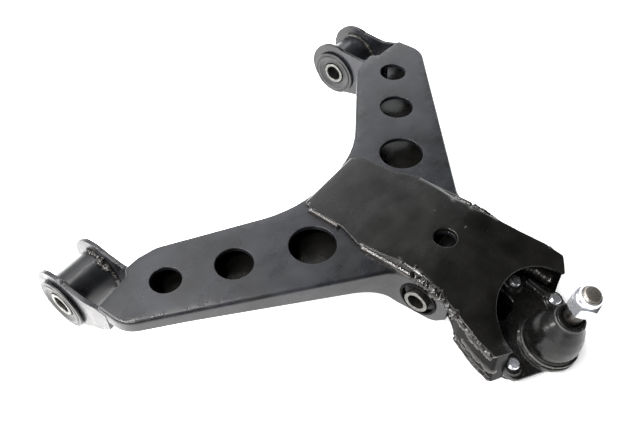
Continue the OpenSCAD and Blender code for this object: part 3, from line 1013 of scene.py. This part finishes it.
def make_damper():
    """The cross tube, its rubber and its sleeve."""
    tube = ring_profile(DAMPER_R, DAMPER_RUBBER_R, -DAMPER_HALF, DAMPER_HALF, 0.5)
    piece("damper_tube_form", lathe(tube), SHADED_YOKE_PAINT, "arm", ["damper_tube"], AT_DAMPER)
    inner = DAMPER_SLEEVE_R + 0.05
    lip = [
        (inner, 0, 0), (inner, 43.5, 0), (11.2, 44.8, 0.6), (12.4, 43.9, 0.8), (DAMPER_RUBBER_R, 45.4, 0),
        (DAMPER_RUBBER_R, 0, 0),
    ]
    piece(
        "damper_rubber_form", lathe(both_ends(lip)), BUSH_RUBBER, "arm",
        ["damper_rubber"], AT_DAMPER,
    )
    sleeve = ring_profile(DAMPER_SLEEVE_R, DAMPER_BORE_R, -DAMPER_SLEEVE_HALF, DAMPER_SLEEVE_HALF, 0.6)
    piece(
        "damper_sleeve_form", lathe(sleeve), SLEEVE_STEEL, "damper_bolt_sleeve",
        ["damper_sleeve"], AT_DAMPER,
    )


# ---------------------------------------------------------------- ball joint


def remeshed(made, voxel, rounds):
    """Gives a piece the soft edges of a casting; the voxel is in millimetres."""
    remesh = made.modifiers.new("remesh", "REMESH")
    remesh.mode = "VOXEL"
    remesh.voxel_size = voxel * MM
    smooth = made.modifiers.new("smooth", "SMOOTH")
    smooth.factor = 0.5
    smooth.iterations = rounds
    made.modifiers.remove(made.modifiers["normals"])
    baked(made)


def roughened(made, *waves):
    """Moves each point along its normal by smooth noise; a wave is (depth in mm, waves per mm)."""
    normals = [v.normal.copy() for v in made.data.vertices]
    for v, normal in zip(made.data.vertices, normals):
        at = v.co / MM
        v.co += normal * MM * sum(depth * noise.noise(at * rate) for depth, rate in waves)
    made.data.update()


def make_housing():
    """The casting as the CAD has it, with soft edges and a rough skin."""
    mesh = copied("ball_joint_housing")
    made = piece("ball_joint_housing_form", mesh, CAST_PAINT, "arm", ["ball_joint_housing"])
    remeshed(made, 0.8, 6)
    roughened(made, (0.35, 0.12), (0.22, 0.5))
    made.data.shade_smooth()


def boot_profile():
    """Section of the boot: up its outside, then down the hollow."""
    face = [
        (BOOT_R, 0, 0), (BOOT_R, 3.4, 1.2), (22.7, 5.4, 2), (22.9, 12, 12), (21.6, 20, 16), (18.6, 28, 16),
        (14.4, 35, 12), (11.8, 38.8, 3), (11.6, BOOT_H, 0.7),
    ]
    hollow = [
        (8.4, BOOT_H, 0.5), (8.4, 39, 1), (12, 33.5, 3), (16.4, 27, 8), (19.2, 19.5, 8), (20.4, 12, 3),
        (20.6, 8.5, 0.2), (20, 8, 0.1), (20, 0, 0),
    ]
    return [tuple(p) for p in outline(face + hollow, 0, 1.2)]


def make_boot():
    """The boot, placed on the seat; it belongs to no body, and its placement is baked into its mesh."""
    boot = piece(
        "dust_boot_form", lathe(boot_profile(), 128), BOOT_RUBBER, None,
        ["dust_boot"], AT_SEAT,
    )
    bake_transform(boot)


def wire_ring(radius, wire, low):
    """A spring ring: one wire wound twice, side by side."""
    steps = 90
    path = []
    for i in range(2 * steps + 1):
        a = 2 * math.pi * i / steps
        path.append(Vector((radius * math.cos(a), radius * math.sin(a), low + wire * 2 * i / steps)))
    return sweep(path, lambda i, angle: wire)


THREAD_STEPS = 48
CHAMFER = 0.52


def thread(radius, depth, pitch, low, high):
    """A screw thread between two heights, with a run-out at both ends."""
    levels = int((high - low) / pitch * 8)
    loops = []
    for j in range(levels + 1):
        h = low + (high - low) * j / levels
        fade = min(1.0, (h - low) / pitch, (high - h) / pitch)
        loop = []
        for a in angles(THREAD_STEPS):
            phase = (h / pitch - a / (2 * math.pi)) % 1.0
            groove = 1 - abs(2 * phase - 1)
            r = radius - depth * groove * fade
            loop.append(Vector((r * math.cos(a), r * math.sin(a), h)))
        loops.append(loop)
    return capped(loops)


def make_stud():
    """A true ball, so that it turns freely in its seat, a taper and a threaded end."""
    neck = math.acos(NECK_R / BALL_R)
    turn = angles(48, math.pi / 2 + neck, -math.pi / 2)[1:]
    ball = [(0, BALL_H - BALL_R)] + [(BALL_R * math.cos(a), BALL_H + BALL_R * math.sin(a)) for a in turn]
    shank = soft_profile([
        (NECK_R, BALL_H + BALL_R * math.sin(neck), 0), (NECK_R, 24, 4), (TAPER_R, 30, 3), (TAPER_R, 38, 2),
        (THREAD_R, NUT_H - 4, 2), (THREAD_R, NUT_H - 2, 0), (THREAD_R - 1, NUT_H - 1, 0), (0, NUT_H - 1, 0),
    ])
    body = lathe(ball + [tuple(p) for p in shank])
    screw = thread(THREAD_R, 0.9, 1.5, NUT_H - 3, STUD_END - 1)
    point = [(0, STUD_END - 1), (THREAD_R - 0.1, STUD_END - 1), (THREAD_R - 1.3, STUD_END), (0, STUD_END)]
    whole = joined([body, screw, lathe(point, THREAD_STEPS)])
    piece("ball_stud_form", whole, STUD_STEEL, "stud", ["ball_stud"], AT_SEAT)


def hexagon(a, flats):
    """Distance from the middle of a hexagon to its edge at an angle."""
    return flats / 2 / math.cos((a + math.pi / 6) % (math.pi / 3) - math.pi / 6)


def nut_mesh(flats, bore, low, high):
    """A hexagon whose corners are turned off at both faces, with a countersunk bore."""
    turn = angles(144)
    land = flats / 2 - 0.3

    def loop(radius, height):
        return [Vector((radius(a) * math.cos(a), radius(a) * math.sin(a), height(a))) for a in turn]

    def slope(a):
        return (hexagon(a, flats) - land) * CHAMFER

    loops = [
        loop(lambda a: bore, lambda a: low + 1),
        loop(lambda a: bore + 1, lambda a: low),
        loop(lambda a: land, lambda a: low),
        loop(lambda a: hexagon(a, flats), lambda a: low + slope(a)),
        loop(lambda a: hexagon(a, flats), lambda a: high - slope(a)),
        loop(lambda a: land, lambda a: high),
        loop(lambda a: bore + 1, lambda a: high),
        loop(lambda a: bore, lambda a: high - 1),
    ]
    return stitched([p for each in loops for p in each], rings(loops, closed=True))


def make_nut():
    """The stud's nut and the locking collar on top of it."""
    bore = 7.0
    low = NUT_H + NUT_T
    nut = nut_mesh(NUT_FLATS, bore, NUT_H, low)
    piece("stud_nut_form", nut, ZINC, "stud", ["stud_nut"], AT_SEAT)
    collar = [
        (bore, low - 0.01, 0), (9.4, low - 0.01, 0), (9.4, low + COLLAR_H - 2, 1.2),
        (8.4, low + COLLAR_H, 0.8), (bore, low + COLLAR_H, 0.4),
    ]
    piece(
        "nut_insert_form", lathe([tuple(p) for p in outline(collar)], ROUND_STEPS), ZINC, "stud",
        ["nut_insert"], AT_SEAT,
    )


def make_bolts():
    """Four bolts from below through the tray and the flange, their heads on washers."""
    parts = []
    under = -FLANGE_T - TRAY_T - WASHER_T
    tip = BOLT_END - 0.8
    for u, v in LUG_POINTS:
        at = Matrix.Translation((u, v, 0))
        shank = thread(BOLT_R, 0.6, 1.25, under, tip)
        point = [(0, tip), (BOLT_R - 0.05, tip), (BOLT_R - 0.75, BOLT_END), (0, BOLT_END)]
        head = nut_mesh(BOLT_FLATS, BOLT_R - 0.45, under - BOLT_HEAD, under)
        parts += [moved(part, at) for part in (shank, lathe(point, THREAD_STEPS), head)]
    piece("flange_bolts_form", joined(parts), ZINC, "arm", ["flange_bolts"], AT_FLANGE)


def make_rings():
    """The wire rings that hold the boot's foot and its lip."""
    lower = wire_ring(24.4, 0.7, 0.9)
    piece("boot_lower_ring_form", lower, SLEEVE_STEEL, "arm", ["boot_lower_ring"], AT_SEAT)
    upper = wire_ring(12.4, 0.6, 40.3)
    piece("boot_upper_ring_form", upper, DARK_STEEL, "boot_lip", ["boot_upper_ring"], AT_SEAT)


def make_ball_joint():
    make_housing()
    make_boot()
    make_rings()
    make_stud()
    make_nut()
    make_bolts()
    refine("ball_joint_cap", 0.5, DARK_STEEL)
    refine("flange_washers", 0.2, ZINC)
    frame["nodes"]["ball_seat"].material_slots[0].material = SEAT_PLASTIC


# ---------------------------------------------------------------- studio

FLOOR_TILT = math.radians(1.5)
LAMP_DISTANCE = 1.5


def make_floor():
    """A floor that meets the arm's ears and its ball joint. It glows, most at the left."""
    bpy.ops.mesh.primitive_plane_add(size=8)
    floor = bpy.context.object
    floor.name = "floor"
    floor.rotation_euler = (0, FLOOR_TILT, 0)
    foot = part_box("ear_rear_inner")[0]
    floor.location = (0, MIDDLE.y * MM, foot.z - 0.0008)
    made = Finish("floor")
    made.colour(made.ramp(made.noise(3), 0.4, 0.6, (0.88, 0.88, 0.89), (0.9, 0.9, 0.9)))
    made.shader.inputs["Roughness"].default_value = 0.6
    made.shader.inputs["Emission Color"].default_value = (1, 1, 1, 1)
    split = made.add("ShaderNodeSeparateXYZ")
    made.link(made.place, split.inputs[0])
    made.link(made.span(split.outputs["X"], -0.1, 0.3, 2.2, 0.45), made.shader.inputs["Emission Strength"])
    floor.data.materials.append(made.material)


# Brightness of the surroundings by how far a direction lies to the left, the front and down
SKY_LEAN = (-1.0, -0.25, -0.9)
SKY_RANGE = (-1.2, 0.2)
SKY_LEFT = [
    (0.0, 0.02), (0.07, 0.03), (0.45, 0.15), (0.543, 0.4), (0.579, 0.55), (0.604, 1.0), (0.697, 3.4),
    (0.786, 3.0), (0.893, 1.5), (1.0, 1.0),
]
SKY_STRENGTH = 3.4


def make_world():
    """White near the horizon, bright high on the left and dark high on the right."""
    world = bpy.data.worlds.new("studio")
    bpy.context.scene.world = world
    world.use_nodes = True
    tree = world.node_tree
    place = tree.nodes.new("ShaderNodeTexCoord").outputs["Generated"]
    split = tree.nodes.new("ShaderNodeSeparateXYZ")
    tree.links.new(place, split.inputs[0])
    low = tree.nodes.new("ShaderNodeMapRange")
    for key, number in zip(("From Min", "From Max", "To Min", "To Max"), (0.05, 0.3, 0.3, 0.0)):
        low.inputs[key].default_value = number
    tree.links.new(split.outputs["Z"], low.inputs["Value"])
    lean = tree.nodes.new("ShaderNodeVectorMath")
    lean.operation = "DOT_PRODUCT"
    lean.inputs[1].default_value = SKY_LEAN
    tree.links.new(place, lean.inputs[0])
    along = tree.nodes.new("ShaderNodeMapRange")
    along.inputs["From Min"].default_value, along.inputs["From Max"].default_value = SKY_RANGE
    tree.links.new(lean.outputs["Value"], along.inputs["Value"])
    ramp = tree.nodes.new("ShaderNodeValToRGB")
    elements = ramp.color_ramp.elements
    for i, (position, level) in enumerate(SKY_LEFT):
        element = elements[i] if i < 2 else elements.new(position)
        element.position = position
        value = level / SKY_STRENGTH
        element.color = (value * 0.97, value * 0.985, value, 1)
    tree.links.new(along.outputs["Result"], ramp.inputs["Fac"])
    both = tree.nodes.new("ShaderNodeMix")
    both.data_type = "RGBA"
    both.blend_type = "LIGHTEN"
    both.inputs["Factor"].default_value = 1.0
    tree.links.new(low.outputs["Result"], both.inputs["A"])
    tree.links.new(ramp.outputs["Color"], both.inputs["B"])
    tree.links.new(both.outputs["Result"], tree.nodes["Background"].inputs["Color"])
    tree.nodes["Background"].inputs["Strength"].default_value = SKY_STRENGTH


def softbox(name, direction, size, power, colour):
    """A rectangular lamp that faces the object from a direction."""
    light = bpy.data.lights.new(name, "AREA")
    light.shape = "RECTANGLE"
    light.size, light.size_y = size
    light.energy = power
    light.color = colour
    lamp = bpy.data.objects.new(name, light)
    bpy.context.scene.collection.objects.link(lamp)
    middle = (cad_box[0] + cad_box[1]) / 2
    away = Vector(direction).normalized()
    lamp.location = middle + away * LAMP_DISTANCE
    lamp.rotation_mode = "QUATERNION"
    lamp.rotation_quaternion = away.to_track_quat("Z", "Y")


def make_lights():
    """Two narrow strips and a small one for streaks along the welds, and a window for the boot."""
    softbox("strip_front", (-0.3, -0.62, 0.72), (0.9, 0.05), 17, (1.0, 0.95, 0.92))
    softbox("strip_top", (-0.32, -0.12, 0.94), (0.9, 0.04), 12, (1.0, 0.97, 0.95))
    softbox("strip_wing", (0.05, -0.62, 0.78), (0.25, 0.12), 9, (1.0, 0.98, 0.96))
    softbox("window", (-0.66, -0.6, 0.42), (0.22, 0.22), 8, (1.0, 0.98, 0.96))


def make_camera():
    """The photographed view, with a plain tone curve."""
    camera = bpy.data.objects.new("camera", bpy.data.cameras.new("camera"))
    bpy.context.scene.collection.objects.link(camera)
    at = Vector((0.3945, -0.5647, 0.5069))
    to = Vector((0.1335, -0.2284, 0.037))
    camera.location = at
    camera.rotation_mode = "QUATERNION"
    level = (to - at).to_track_quat("-Z", "Y")
    roll = Matrix.Rotation(math.radians(-1.43), 3, "Z").to_quaternion()
    camera.rotation_quaternion = level @ roll
    camera.data.sensor_width = 36
    camera.data.lens = 41.7
    bpy.context.scene.camera = camera
    bpy.context.scene.view_settings.view_transform = "Standard"


make_camera()
make_world()
make_lights()
make_floor()
make_arm()
make_cover()
make_cover_welds()
make_yoke_welds()
refine("closing_plate", 0.4, COVER_PAINT)
refine("yoke_tray", 0.5, SHADED_YOKE_PAINT)
for bush_side, bush_end in ((1, "front"), (-1, "rear")):
    for part in ("outer", "inner"):
        refine(f"ear_{bush_end}_{part}", 0.6, ARM_PAINT)
    refine(f"pivot_tube_{bush_end}", 0.3, ARM_PAINT)
    make_ear_welds(bush_side, f"ear_welds_{bush_end}")
    make_bush(bush_side, bush_end)
make_damper()
make_ball_joint()
